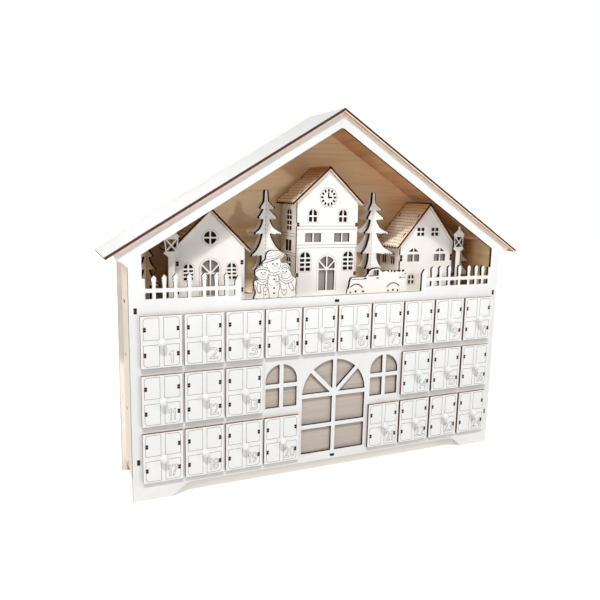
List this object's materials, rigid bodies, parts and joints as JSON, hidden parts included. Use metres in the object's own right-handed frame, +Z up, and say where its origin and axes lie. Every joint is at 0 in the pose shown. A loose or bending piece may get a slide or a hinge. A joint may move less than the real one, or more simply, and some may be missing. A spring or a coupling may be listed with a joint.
{
  "type": "wooden advent calendar",
  "caption": "Laser-cut plywood house with rows of pull-out drawers, arched windows and a snowy village scene under its open gable.",
  "frame": {"origin": "middle of the footprint, on the surface that the feet stand on", "axes": "+X to the right across the front, +Y from the front to the back, +Z up"},
  "size_m": [0.4566, 0.0914, 0.373],
  "materials": {
    "white_plywood": "matt white paint with burnt edges",
    "cream_plywood": "thin white wash",
    "bare_plywood": "bare birch plywood",
    "taupe_board": "matt taupe paint"
  },
  "bodies": {
    "house": {"front_panel": "white_plywood", "back_panel": "bare_plywood", "side_panel_left": "bare_plywood", "side_panel_right": "bare_plywood", "roof_panel_left": "white_plywood", "roof_panel_right": "white_plywood", "base_panel": "bare_plywood", "shelf_lower": "bare_plywood", "shelf_upper": "bare_plywood", "stage_floor": "bare_plywood", "dividers_bottom_left": "bare_plywood", "dividers_bottom_right": "bare_plywood", "dividers_middle_left": "bare_plywood", "dividers_middle_right": "bare_plywood", "dividers_top_row": "bare_plywood", "window_backing": "taupe_board", "cottage_left_front": "white_plywood", "cottage_left_sides": "cream_plywood", "cottage_left_roof": "white_plywood", "town_hall_front": "white_plywood", "town_hall_sides": "cream_plywood", "town_hall_roof": "white_plywood", "cottage_right_front": "white_plywood", "cottage_right_sides": "cream_plywood", "cottage_right_roof": "white_plywood", "village_backings": "taupe_board", "tree_far_left": "white_plywood", "tree_left": "white_plywood", "tree_right": "white_plywood", "tree_far_right": "white_plywood", "lamp_post_left": "white_plywood", "lamp_post_right": "white_plywood", "snow_figures": "white_plywood", "pickup_truck": "white_plywood"},
    "drawer_01": {"drawer_01": "white_plywood"},
    "drawer_02": {"drawer_02": "white_plywood"},
    "drawer_03": {"drawer_03": "white_plywood"},
    "drawer_04": {"drawer_04": "white_plywood"},
    "drawer_05": {"drawer_05": "white_plywood"},
    "drawer_06": {"drawer_06": "white_plywood"},
    "drawer_07": {"drawer_07": "white_plywood"},
    "drawer_08": {"drawer_08": "white_plywood"},
    "drawer_09": {"drawer_09": "white_plywood"},
    "drawer_10": {"drawer_10": "white_plywood"},
    "drawer_11": {"drawer_11": "white_plywood"},
    "drawer_12": {"drawer_12": "white_plywood"},
    "drawer_13": {"drawer_13": "white_plywood"},
    "drawer_14": {"drawer_14": "white_plywood"},
    "drawer_15": {"drawer_15": "white_plywood"},
    "drawer_16": {"drawer_16": "white_plywood"},
    "drawer_17": {"drawer_17": "white_plywood"},
    "drawer_18": {"drawer_18": "white_plywood"},
    "drawer_19": {"drawer_19": "white_plywood"},
    "drawer_20": {"drawer_20": "white_plywood"},
    "drawer_21": {"drawer_21": "white_plywood"},
    "drawer_22": {"drawer_22": "white_plywood"},
    "drawer_23": {"drawer_23": "white_plywood"},
    "drawer_24": {"drawer_24": "white_plywood"}
  },
  "joints": [
    {"name": "drawer_01_slide", "type": "slide", "parent": "house", "child": "drawer_01", "axis": [0, -1, 0], "range_m": [0, 0.058]},
    {"name": "drawer_02_slide", "type": "slide", "parent": "house", "child": "drawer_02", "axis": [0, -1, 0], "range_m": [0, 0.058]},
    {"name": "drawer_03_slide", "type": "slide", "parent": "house", "child": "drawer_03", "axis": [0, -1, 0], "range_m": [0, 0.058]},
    {"name": "drawer_04_slide", "type": "slide", "parent": "house", "child": "drawer_04", "axis": [0, -1, 0], "range_m": [0, 0.058]},
    {"name": "drawer_05_slide", "type": "slide", "parent": "house", "child": "drawer_05", "axis": [0, -1, 0], "range_m": [0, 0.058]},
    {"name": "drawer_06_slide", "type": "slide", "parent": "house", "child": "drawer_06", "axis": [0, -1, 0], "range_m": [0, 0.058]},
    {"name": "drawer_07_slide", "type": "slide", "parent": "house", "child": "drawer_07", "axis": [0, -1, 0], "range_m": [0, 0.058]},
    {"name": "drawer_08_slide", "type": "slide", "parent": "house", "child": "drawer_08", "axis": [0, -1, 0], "range_m": [0, 0.058]},
    {"name": "drawer_09_slide", "type": "slide", "parent": "house", "child": "drawer_09", "axis": [0, -1, 0], "range_m": [0, 0.058]},
    {"name": "drawer_10_slide", "type": "slide", "parent": "house", "child": "drawer_10", "axis": [0, -1, 0], "range_m": [0, 0.058]},
    {"name": "drawer_11_slide", "type": "slide", "parent": "house", "child": "drawer_11", "axis": [0, -1, 0], "range_m": [0, 0.058]},
    {"name": "drawer_12_slide", "type": "slide", "parent": "house", "child": "drawer_12", "axis": [0, -1, 0], "range_m": [0, 0.058]},
    {"name": "drawer_13_slide", "type": "slide", "parent": "house", "child": "drawer_13", "axis": [0, -1, 0], "range_m": [0, 0.058]},
    {"name": "drawer_14_slide", "type": "slide", "parent": "house", "child": "drawer_14", "axis": [0, -1, 0], "range_m": [0, 0.058]},
    {"name": "drawer_15_slide", "type": "slide", "parent": "house", "child": "drawer_15", "axis": [0, -1, 0], "range_m": [0, 0.058]},
    {"name": "drawer_16_slide", "type": "slide", "parent": "house", "child": "drawer_16", "axis": [0, -1, 0], "range_m": [0, 0.058]},
    {"name": "drawer_17_slide", "type": "slide", "parent": "house", "child": "drawer_17", "axis": [0, -1, 0], "range_m": [0, 0.058]},
    {"name": "drawer_18_slide", "type": "slide", "parent": "house", "child": "drawer_18", "axis": [0, -1, 0], "range_m": [0, 0.058]},
    {"name": "drawer_19_slide", "type": "slide", "parent": "house", "child": "drawer_19", "axis": [0, -1, 0], "range_m": [0, 0.058]},
    {"name": "drawer_20_slide", "type": "slide", "parent": "house", "child": "drawer_20", "axis": [0, -1, 0], "range_m": [0, 0.058]},
    {"name": "drawer_21_slide", "type": "slide", "parent": "house", "child": "drawer_21", "axis": [0, -1, 0], "range_m": [0, 0.058]},
    {"name": "drawer_22_slide", "type": "slide", "parent": "house", "child": "drawer_22", "axis": [0, -1, 0], "range_m": [0, 0.058]},
    {"name": "drawer_23_slide", "type": "slide", "parent": "house", "child": "drawer_23", "axis": [0, -1, 0], "range_m": [0, 0.058]},
    {"name": "drawer_24_slide", "type": "slide", "parent": "house", "child": "drawer_24", "axis": [0, -1, 0], "range_m": [0, 0.058]}
  ]
}
